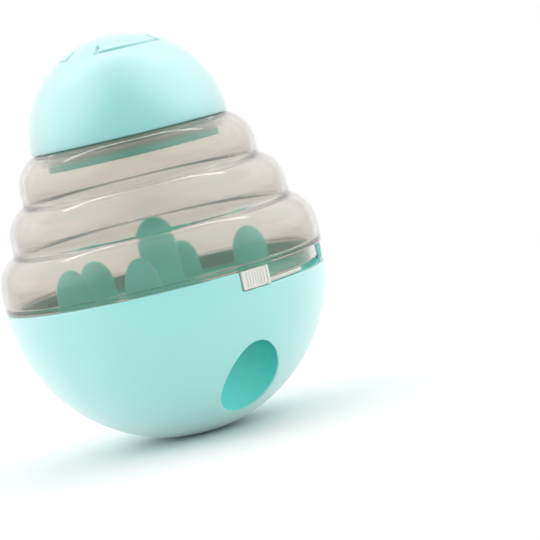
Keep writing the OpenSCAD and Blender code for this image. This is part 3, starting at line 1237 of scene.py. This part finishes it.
@dataclass
class Gate:
    """The turning leaf over the drop hole and the ribbed tab that moves it."""

    sizes: Measures
    finish: Material
    leaf: Pair = (-17.03, 28.9)
    leaf_r: Pair = (25.2, 49.7)
    leaf_soft: float = 0.18
    leaf_ends: float = 0.2
    tongue_r: Pair = (47.7, 51.05)
    tongue_half: float = 4.2
    tongue_thin: float = 0.05
    tongue_soft: float = 0.15
    tab_half: float = 5.63
    tab_back: float = 50.1
    tab_front: float = 51.9
    tab_round: float = 0.3
    bar: float = 1.1
    bar_slope: float = 0.12
    ribs: int = 7
    rib_r: float = 0.44
    rib_ends: Pair = (0.5, 0.9)
    edge_rows: int = 5
    tab_rows: int = 22
    face_columns: int = 121
    back_columns: int = 16

    def leaf_skin(self) -> Surface:
        """The flat leaf and the tongue that holds the tab, softened boxes carried along arcs.

        Returns:
            The closed leaf and tongue.
        """
        low, high, middle = self.sizes.gate_z, self.sizes.gate_top, self.sizes.tab_at
        thin, (root, end) = self.tongue_thin, self.tongue_r
        leaf = box_outline((self.leaf_r[0], low), (self.leaf_r[1], high), self.leaf_soft)
        tongue = box_outline((root, low + thin), (end, high - thin), self.tongue_soft)
        sides = (middle - self.tongue_half, middle + self.tongue_half)
        return joined(
            swept_arc(leaf, self.leaf, columns=60, ease=self.leaf_ends),
            swept_arc(tongue, sides, columns=14, ease=self.leaf_ends),
        )

    def tab_front_r(self, angle: np.ndarray, height: np.ndarray) -> np.ndarray:
        """Radius of the tab's face: plain, with a raised bar down each side and ribs between.

        A rib stands out by sqrt(r^2 - across^2) and fades towards the tab's foot and top.

        Args:
            angle: degrees from the tab's middle.
            height: heights on the tab.

        Returns:
            The face's radius at each point.
        """
        size, inner = self.sizes, self.tab_half - self.bar
        bar = smooth_step(inner - self.bar_slope, inner + self.bar_slope, np.abs(angle))
        pitch = 2.0 * inner / (self.ribs + 1)
        off = (angle + inner) / pitch
        nearest = np.clip(np.round(off), 1, self.ribs)
        across = np.radians((off - nearest) * pitch) * self.tab_front
        rib = np.sqrt(np.clip(self.rib_r**2 - across**2, 0.0, None))
        low, high = self.rib_ends
        ends = smooth_step(size.tab_z + low, size.tab_z + high, height)
        ends = ends * smooth_step(size.tab_top - low, size.tab_top - high, height)
        return self.tab_front + bar * (size.shell_r - self.tab_front) + rib * ends

    def tab_skin(self) -> Surface:
        """The tab: its plan outline carried up, drawn in at the foot and top by a quarter round.

        Returns:
            The closed tab.
        """
        half, ease = self.tab_half, self.tab_round
        low, high, middle = self.sizes.tab_z, self.sizes.tab_top, self.sizes.tab_at
        drawn, lift = quarter_round(ease, self.edge_rows)
        flat = between(low + ease, high - ease, self.tab_rows)
        height = np.concatenate([[low], low + lift, flat, high - lift[::-1], [high]])[:, None]
        inset = np.concatenate([[0.0], drawn, np.zeros(len(flat)), drawn[::-1], [0.0]])[:, None]
        face = np.linspace(-half, half, self.face_columns)
        back = np.linspace(half, -half, self.back_columns)
        corner = np.degrees(ease / self.tab_front)
        cut = ease * (1.0 - smooth_step(half, half - corner, np.abs(face)))
        front = self.tab_front_r(face, height) - cut - inset
        rear = np.full((len(height), len(back)), self.tab_back) + inset
        squeeze = 1.0 - np.degrees(inset / self.tab_front) / half
        angle = middle + np.concatenate([face, back]) * squeeze
        rows = around(angle, np.concatenate([front, rear], axis=1), height)
        hub = around(middle, 0.5 * (self.tab_back + self.tab_front), 0.0)
        rows[[0, -1], :, :2] = hub[:2]
        return grid_surface(rows, poles=True)

    def build(self) -> None:
        """Makes the leaf and the tab."""
        for node, skin in (("gate_leaf", self.leaf_skin()), ("thumb_tab", self.tab_skin())):
            add_piece(node, skin, self.finish, Body.GATE, Slot.FROST, node)


# The clear shell


@dataclass
class ClearShell:
    """The clear stepped tower over the bowl: three shoulders, a collar, a skirt and three lugs."""

    sizes: Measures
    finish: Material
    wall: float = 2.0
    step_r: float = 6.7
    step_z: float = 14.85
    shoulder: float = 12.0
    shell_lift: float = 0.3
    step: float = 1.2
    bore_r: float = 28.4
    collar_wall: float = 1.9
    collar_deep: float = 4.2
    skirt_r: float = 49.7
    crease: float = 0.42
    lug_half: float = 5.0
    lug_r: Pair = (49.1, 50.6)
    lug_drop: Pair = (4.0, 2.4)
    lug_soft: float = 0.15
    lug_ends: float = 0.25
    arc_points: int = 22

    def outline(self) -> np.ndarray:
        """The wall's (r, z) outline: up the outside over the shoulders, down the neck, back inside.

        A tier's outside is an upright wall that turns into a shoulder arc, which ends where the
        next tier's wall stands on it; the inside follows at the wall's thickness.

        Returns:
            The softened closed outline.
        """
        size, wall = self.sizes, self.wall
        full, thin = self.shoulder - self.step_r, self.shoulder - wall
        roof_z = size.neck_z - wall
        top_z = size.neck_z - math.sqrt(self.shoulder**2 - full**2)
        tiers = [
            (size.shell_r - self.step_r * k - self.shoulder, top_z - self.step_z * (2 - k))
            for k in range(3)
        ]
        stop = math.degrees(math.acos(full / self.shoulder))
        stop_in = math.degrees(math.acos((full - wall) / thin))
        roof_in = math.degrees(math.asin((roof_z - top_z) / thin))
        outside = [arc(tier, self.shoulder, 0.0, stop, self.arc_points) for tier in tiers]
        inside = [
            arc(tier, thin, start, 0.0, self.arc_points)
            for tier, start in zip(tiers[::-1], (roof_in, stop_in, stop_in))
        ]
        collar_z = size.neck_z - self.collar_deep
        collar_r = self.bore_r + self.collar_wall
        shell_z = size.rim_z + self.shell_lift
        foot_z = shell_z + self.step
        skirt_in = self.skirt_r - wall
        foot = [[self.skirt_r, size.skirt_z], [self.skirt_r, shell_z], [size.shell_r, shell_z]]
        bore = [[self.bore_r, size.neck_z], [self.bore_r, collar_z]]
        collar = [[collar_r, collar_z], [collar_r, roof_z]]
        hem = [[size.shell_r - wall, foot_z], [skirt_in, foot_z], [skirt_in, size.skirt_z]]
        corners = np.concatenate([foot, *outside, bore, collar, *inside, hem])
        return softened(corners, self.crease, step=2.2, bend=7.0)

    def lugs(self) -> list[Surface]:
        """The three lugs that turn into the bowl's slots, softened blocks carried along arcs.

        Returns:
            The closed lugs.
        """
        low, high = (self.sizes.rim_z - drop for drop in self.lug_drop)
        block = box_outline((self.lug_r[0], low), (self.lug_r[1], high), self.lug_soft)
        return [
            swept_arc(block, (a - self.lug_half, a + self.lug_half), 12, self.lug_ends)
            for a in self.sizes.lug_at
        ]

    def build(self) -> None:
        """Makes the shell with its lugs."""
        skin = joined(turned_ring(self.outline(), columns=300), *self.lugs())
        add_piece("clear_shell", skin, self.finish, Body.SHELL, Slot.SMOKE, "clear_shell")


# The cap


@dataclass
class Cap:
    """The lift-off top: a dome with three finger grooves, the plug under it and the plug's seal.

    A groove is an arc with a stroke up the dome at either end and a dimple where they meet. Its
    trough is flat over trough_flat of its half width and ends at trough_end of it. The dome's rows
    are fine from fine_above over the strokes to fine_below under the arcs, in degrees.
    """

    sizes: Measures
    # The plug's finish carries painted shade.
    finish: Material
    plug_shade_finish: Material
    rubber: Material
    wall: float = 2.2
    edge: float = 0.5
    groove_pitch: float = 120.0
    groove_at: float = -4.0
    groove_ring: float = 17.4
    groove_half: float = 40.0
    groove_wide: float = 0.8
    groove_deep: float = 0.7
    stroke_ring: float = 14.2
    stroke_wide: float = 0.95
    stroke_deep: float = 0.95
    dimple_wide: float = 1.2
    dimple_share: float = 1.1
    trough_flat: float = 0.1
    trough_end: float = 1.15
    fine_above: float = 2.6
    fine_below: float = 2.8
    plug_r: float = 28.1
    plug_wall: float = 2.8
    plug_end: float = 1.8
    plug_soft: float = 0.16
    flange_r: float = 29.9
    flange_z: Pair = (0.05, 1.8)
    seal_ring: float = 27.4
    seal_r: float = 0.85
    seal_drop: float = 2.2
    seal_groove: float = 0.5
    seal_gap: float = 0.1
    seal_points: int = 20
    columns: int = 560
    top_rows: int = 10
    fine_rows: int = 78
    side_rows: int = 28
    edge_rows: int = 6
    inside_rows: int = 26

    @property
    def seal_z(self) -> float:
        """Height of the seal's middle."""
        return self.sizes.neck_z - self.seal_drop

    def polar(self, ring: float) -> float:
        """Degrees down from the dome's top of a ring of that radius."""
        return math.degrees(math.asin(ring / self.sizes.neck_r))

    def groove_depth(self, polar: np.ndarray, angle: np.ndarray) -> np.ndarray:
        """Depth of the three grooves: a trough along each arc, a dimple and a stroke at its ends.

        A point's distance from an arc is hypot(across, past its end), and from a stroke, which
        runs up the dome from the arc's end, hypot(beside it, past its ends); a smooth step of it
        gives the depth.

        Args:
            polar: degrees down from the dome's top.
            angle: angles round the dome.

        Returns:
            The depth at each point.
        """
        ball = self.sizes.neck_r
        ring, high = self.polar(self.groove_ring), self.polar(self.stroke_ring)
        across = np.radians(polar - ring) * ball
        past = np.abs(short_way(angle, self.groove_at, self.groove_pitch)) - self.groove_half
        along = np.radians(past) * self.groove_ring
        beside = np.radians(past) * ball * np.sin(np.radians(polar))
        beyond = np.radians(np.maximum(high - polar, 0.0) + np.maximum(polar - ring, 0.0)) * ball
        to_arc = np.hypot(across, np.maximum(along, 0.0))
        arcs = self._trough(to_arc, self.groove_wide, self.groove_deep)
        strokes = self._trough(np.hypot(beside, beyond), self.stroke_wide, self.stroke_deep)
        dip = self.dimple_share * self.stroke_deep
        dips = self._trough(np.hypot(across, along), self.dimple_wide, dip)
        return np.maximum(np.maximum(arcs, strokes), dips)

    def _trough(self, off: np.ndarray, wide: float, deep: float) -> np.ndarray:
        """Depth of a soft trough of that half width, at that distance from its middle."""
        return deep * (1.0 - smooth_step(self.trough_flat * wide, self.trough_end * wide, off))

    def dome(self) -> Surface:
        """The dome: a half ball with its grooves, a rounded lower edge and a plain inside.

        A row is a circle at one polar angle, closer together where the grooves lie; the radius is
        the ball's less the depth of the grooves.

        Returns:
            The closed dome.
        """
        size, ball, angle = self.sizes, self.sizes.neck_r, full_turn(self.columns)
        above = self.polar(self.stroke_ring) - self.fine_above
        below = self.polar(self.groove_ring) + self.fine_below
        coarse = np.linspace(0.0, above, self.top_rows, endpoint=False)
        fine = np.linspace(above, below, self.fine_rows, endpoint=False)
        side = np.linspace(below, 90.0 - math.degrees(self.edge / ball), self.side_rows)
        polar = np.concatenate([coarse, fine, side])[:, None]
        turn = np.radians(polar)
        radius = ball - self.groove_depth(polar, angle)
        outside = around(angle, radius * np.sin(turn), size.cap_z + radius * np.cos(turn))
        rise, inset = (gap[1:, None] for gap in quarter_round(self.edge, self.edge_rows))
        edge = around(angle, ball - inset, size.cap_z + rise)
        inner = ball - self.wall
        back = np.radians(np.linspace(90.0, 0.0, self.inside_rows))[:, None]
        inside = around(angle, inner * np.sin(back), size.cap_z + inner * np.cos(back))
        return grid_surface(np.concatenate([outside, edge, inside]), poles=True)

    def plug(self) -> Surface:
        """The plug: a flanged cup with a groove for the seal, a softened turned solid.

        Returns:
            The closed plug.
        """
        low, wide = self.sizes.plug_z, self.plug_r
        under, high = (self.sizes.cap_z + z for z in self.flange_z)
        inner, end, band = wide - self.plug_wall, low + self.plug_end, self.seal_r + self.seal_gap
        deep, groove = self.seal_ring - self.seal_groove, (self.seal_z - band, self.seal_z + band)
        corners = [
            [0.0, low],
            [wide, low],
            [wide, groove[0]],
            [deep, groove[0]],
            [deep, groove[1]],
            [wide, groove[1]],
            [wide, under],
            [self.flange_r, under],
            [self.flange_r, high],
            [inner, high],
            [inner, end],
            [0.0, end],
        ]
        return turned_solid(np.array(corners), columns=200, reach=self.plug_soft)

    def build(self) -> None:
        """Makes the dome, the plug and the seal."""
        add_piece("cap_dome", self.dome(), self.finish, Body.CAP, Slot.CAP, "cap_dome")
        # The plug's finish is the cap's teal with painted shade.
        add_piece("cap_plug", self.plug(), self.plug_shade_finish, Body.CAP, Slot.CAP, "cap_plug")
        middle, count = (self.seal_ring, self.seal_z), self.seal_points + 1
        seal = turned_ring(arc(middle, self.seal_r, 0.0, 360.0, count)[:-1], columns=160)
        add_piece("cap_seal", seal, self.rubber, Body.CAP, Slot.SEAL, "cap_seal")


# The studio


@dataclass(frozen=True)
class SoftBox:
    """One area lamp that faces the ball.

    Attributes:
        name: the lamp's name.
        azimuth: degrees round from the camera's side.
        rise: degrees above the floor.
        distance: metres from the ball.
        size: width and height in metres.
        power: watts.
        gloss_only: whether it shows in gloss alone and lights nothing else.
    """

    name: str
    azimuth: float
    rise: float
    distance: float
    size: Pair
    power: float
    gloss_only: bool = False


@dataclass(frozen=True)
class Lobe:
    """A soft patch of light on the tent round the ball.

    Attributes:
        azimuth: degrees round from the camera's side.
        rise: degrees above the floor.
        start: the share along its middle line at which it begins.
        gain: the level that it adds at its middle.
    """

    azimuth: float
    rise: float
    start: float
    gain: float


@dataclass
class Studio:
    """The pale floor, the tent of light, its lamps and the camera of the picture.

    Attributes:
        sizes: the ball's sizes.
        picture: width and height of the picture in pixels.
        rim_at: pixel at which the rim's centre is seen.
        lean: degrees by which the ball's axis leans to the left in the picture.
        azimuth: angle of the camera round the ball.
        camera_far: metres from the ball's axis to the camera.
        camera_high: metres from the floor to the camera.
        camera_clip: metres between which the camera sees.
        lens: the lens in millimetres.
        sensor: the sensor's width in millimetres.
        floor_half: half the floor's width in metres.
        floor_tone: the floor's colour.
        floor_fade: metres from the ball between which the floor turns plain white.
        tent_level: the tent's level behind the camera.
        tent_lobes: what lights the ball: both sides, the top and the backdrop.
        glare_level: the level that gloss shows.
        glare_lobes: what gloss shows at both sides.
        boxes: the lamps.
    """

    sizes: Measures
    picture: float = 540.0
    rim_at: Pair = (164.7, 276.7)
    lean: float = 13.7
    azimuth: float = -29.75
    camera_far: float = 0.771
    camera_high: float = 0.11794
    camera_clip: Pair = (0.01, 50.0)
    lens: float = 159.0
    sensor: float = 36.0
    floor_half: float = 6.0
    floor_tone: Colour = (0.9, 0.895, 0.885, 1.0)
    floor_fade: Pair = (0.1, 0.34)
    tent_level: float = 0.38
    tent_lobes: tuple[Lobe, ...] = (
        Lobe(-90.0, 22.0, 0.2, 1.07),
        Lobe(90.0, 22.0, 0.2, 1.07),
        Lobe(0.0, 90.0, 0.1, 0.3),
        Lobe(180.0, 0.0, 0.1, 0.55),
    )
    glare_level: float = 1.0
    glare_lobes: tuple[Lobe, ...] = (Lobe(-90.0, 40.0, 0.5, 1.3), Lobe(90.0, 40.0, 0.5, 1.3))
    boxes: tuple[SoftBox, ...] = (
        SoftBox("top_box", 180.0, 70.0, 0.95, (0.3, 0.3), 0.4),
        SoftBox("streak_box", 180.0, 75.0, 0.8, (1.2, 0.08), 1.0, gloss_only=True),
    )

    def towards(self, azimuth: float, rise: float) -> np.ndarray:
        """Unit vector at an azimuth from the camera's side and a rise above the floor."""
        lift = math.radians(rise)
        return around(self.azimuth + azimuth, math.cos(lift), math.sin(lift))

    @property
    def rim_centre(self) -> np.ndarray:
        """The middle of the ball's rim, in metres."""
        return np.array([0.0, 0.0, self.sizes.rim_z * MM])

    def floor_material(self) -> Material:
        """A pale sheet that keeps the shadow near the ball and turns plain white far away.

        Returns:
            The material.
        """
        made = bpy.data.materials.new("pale_sheet")
        made.use_nodes = True
        tree = made.node_tree
        tree.nodes.clear()
        place = add_node(tree, "TexCoord").outputs["Object"]
        far = add_node(tree, "VectorMath", {0: place}, operation="LENGTH").outputs["Value"]
        fade = {"Value": far, "From Min": self.floor_fade[0], "From Max": self.floor_fade[1]}
        faded = add_node(tree, "MapRange", fade, interpolation_type="SMOOTHSTEP").outputs["Result"]
        seen = ray_switch(tree, Ray.CAMERA, Ray.CLEAR, Ray.GLOSS)
        share = add_node(tree, "Math", {0: faded, 1: seen}, operation="MULTIPLY").outputs["Value"]
        sheet = add_node(tree, "BsdfDiffuse", {"Color": self.floor_tone}).outputs["BSDF"]
        white = add_node(tree, "Emission").outputs["Emission"]
        mixed = add_node(tree, "MixShader", {"Fac": share, 1: sheet, 2: white}).outputs["Shader"]
        add_node(tree, "OutputMaterial", {"Surface": mixed})
        return made

    def lay_floor(self) -> None:
        """Lays the sheet under the ball."""
        half = self.floor_half
        corners = [(-half, -half, 0.0), (half, -half, 0.0), (half, half, 0.0), (-half, half, 0.0)]
        mesh = bpy.data.meshes.new("floor_sheet")
        mesh.from_pydata(corners, [], [(0, 1, 2, 3)])
        sheet = bpy.data.objects.new("floor_sheet", mesh)
        bpy.context.scene.collection.objects.link(sheet)
        mesh.materials.append(self.floor_material())

    def lit(self, tree: Tree, below: float, lobes: tuple[Lobe, ...]) -> Socket:
        """Adds lobes to a level, each its gain times a smooth step of the share along its middle.

        Args:
            tree: the world's nodes.
            below: the level without the lobes.
            lobes: the lobes.

        Returns:
            The level with them.
        """
        level: Socket | float = below
        for lobe in lobes:
            place = add_node(tree, "TexCoord").outputs["Generated"]
            line = {0: place, 1: tuple(self.towards(lobe.azimuth, lobe.rise))}
            share = add_node(tree, "VectorMath", line, operation="DOT_PRODUCT").outputs["Value"]
            step = {"Value": share, "From Min": lobe.start, "To Max": lobe.gain}
            more = add_node(tree, "MapRange", step, interpolation_type="SMOOTHSTEP")
            total = {0: level, 1: more.outputs["Result"]}
            level = add_node(tree, "Math", total, operation="ADD").outputs["Value"]
        return level

    def hang_tent(self) -> None:
        """Hangs the tent: plain white to the eye, white with glare in gloss, or else its lobes."""
        world = bpy.data.worlds.new("studio_tent")
        world.use_nodes = True
        tree = world.node_tree
        level = self.lit(tree, self.tent_level, self.tent_lobes)
        glare = self.lit(tree, self.glare_level, self.glare_lobes)
        for rays, shown in (((Ray.GLOSS,), glare), ((Ray.CAMERA, Ray.CLEAR), 1.0)):
            choice = {"Value": ray_switch(tree, *rays), "To Min": level, "To Max": shown}
            level = add_node(tree, "MapRange", choice).outputs["Result"]
        feed(tree, tree.nodes["Background"], {"Color": (1.0, 1.0, 1.0, 1.0), "Strength": level})
        bpy.context.scene.world = world

    def hang_boxes(self) -> None:
        """Hangs the lamps, each turned to the middle of the ball."""
        for box in self.boxes:
            lamp = bpy.data.lights.new(box.name, "AREA")
            lamp.shape = "RECTANGLE"
            lamp.size, lamp.size_y = box.size
            lamp.energy = box.power
            away = self.towards(box.azimuth, box.rise)
            side = self.towards(box.azimuth + 90.0, 0.0)
            axes = np.stack([side, np.cross(away, side), away], axis=1)
            hung = bpy.data.objects.new(box.name, lamp)
            hung.matrix_world = self._placed(axes, self.rim_centre + box.distance * away)
            bpy.context.scene.collection.objects.link(hung)
            if box.gloss_only:
                hung.visible_camera = hung.visible_diffuse = hung.visible_transmission = False

    def set_camera(self) -> None:
        """Stands the camera at the picture's angle.

        The rim's centre is seen along one fixed line of the camera, and the ball's axis leans in
        the picture; the camera's turn carries that line and lean onto the line and the upright in
        the room.
        """
        stand = around(self.azimuth, self.camera_far, self.camera_high)
        focus, half = self.lens / self.sensor * self.picture, self.picture / 2.0
        seen = np.array([self.rim_at[0] - half, half - self.rim_at[1], -focus])
        lean = math.radians(self.lean)
        leaning = self._basis(seen, np.array([-math.sin(lean), math.cos(lean), 0.0]))
        axes = self._basis(self.rim_centre - stand, np.array([0.0, 0.0, 1.0])) @ leaning.T
        lens = bpy.data.cameras.new("picture_camera")
        lens.lens = self.lens
        lens.sensor_width = self.sensor
        lens.clip_start, lens.clip_end = self.camera_clip
        camera = bpy.data.objects.new("picture_camera", lens)
        camera.matrix_world = self._placed(axes, stand)
        bpy.context.scene.collection.objects.link(camera)
        bpy.context.scene.camera = camera

    @staticmethod
    def _basis(line: np.ndarray, upright: np.ndarray) -> np.ndarray:
        """Three square directions.

        Args:
            line: the first direction, of any length.
            upright: a direction whose part across the line is the second.

        Returns:
            The directions as columns; the third is the first times the second.
        """
        along = line / np.linalg.norm(line)
        across = upright - (upright @ along) * along
        across = across / np.linalg.norm(across)
        return np.stack([along, across, np.cross(along, across)], axis=1)

    @staticmethod
    def _placed(axes: np.ndarray, stand: np.ndarray) -> Matrix:
        """The place of an object.

        Args:
            axes: its x, y and z directions as columns.
            stand: where it is.

        Returns:
            Its matrix.
        """
        whole = np.eye(4)
        whole[:3, :3] = axes
        whole[:3, 3] = stand
        return Matrix(whole.tolist())

    def build(self) -> None:
        """Sets up the room."""
        bpy.context.scene.view_settings.view_transform = "Standard"
        self.lay_floor()
        self.hang_tent()
        self.hang_boxes()
        self.set_camera()


def main() -> None:
    """Builds the ball's sub-assemblies in order, then the studio."""
    logging.basicConfig(level=logging.INFO, format="%(name)s: %(message)s")
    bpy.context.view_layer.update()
    sizes = Measures.from_frame()
    effects = Effects()
    # teal_floor carries painted light for the floor, the pegs and the centre post.
    teal_floor, frost = TEAL_FLOOR_PAINTED_LIGHT.material(effects), FROST.material(effects)
    # plug is the cap's teal with painted shade.
    cap, plug, seal = (finish.material(effects) for finish in (TEAL_CAP, TEAL_PLUG_PAINTED_SHADE, SILICONE))
    Bowl(sizes, TEAL_BOWL.material(effects), TEAL_BORE_PAINTED_SHADE.material(effects)).build()
    ChamberFloor(sizes, teal_floor).build()
    CentrePost(sizes, teal_floor).build()
    SunkMetal(WEIGHT_STEEL.material(effects), SCREW_STEEL.material(effects)).dress()
    Gate(sizes, frost).build()
    ClearShell(sizes, SMOKE.material(effects)).build()
    Cap(sizes, cap, plug, seal).build()
    Studio(sizes).build()
    bpy.context.view_layer.update()


if __name__ == "__main__":
    main()
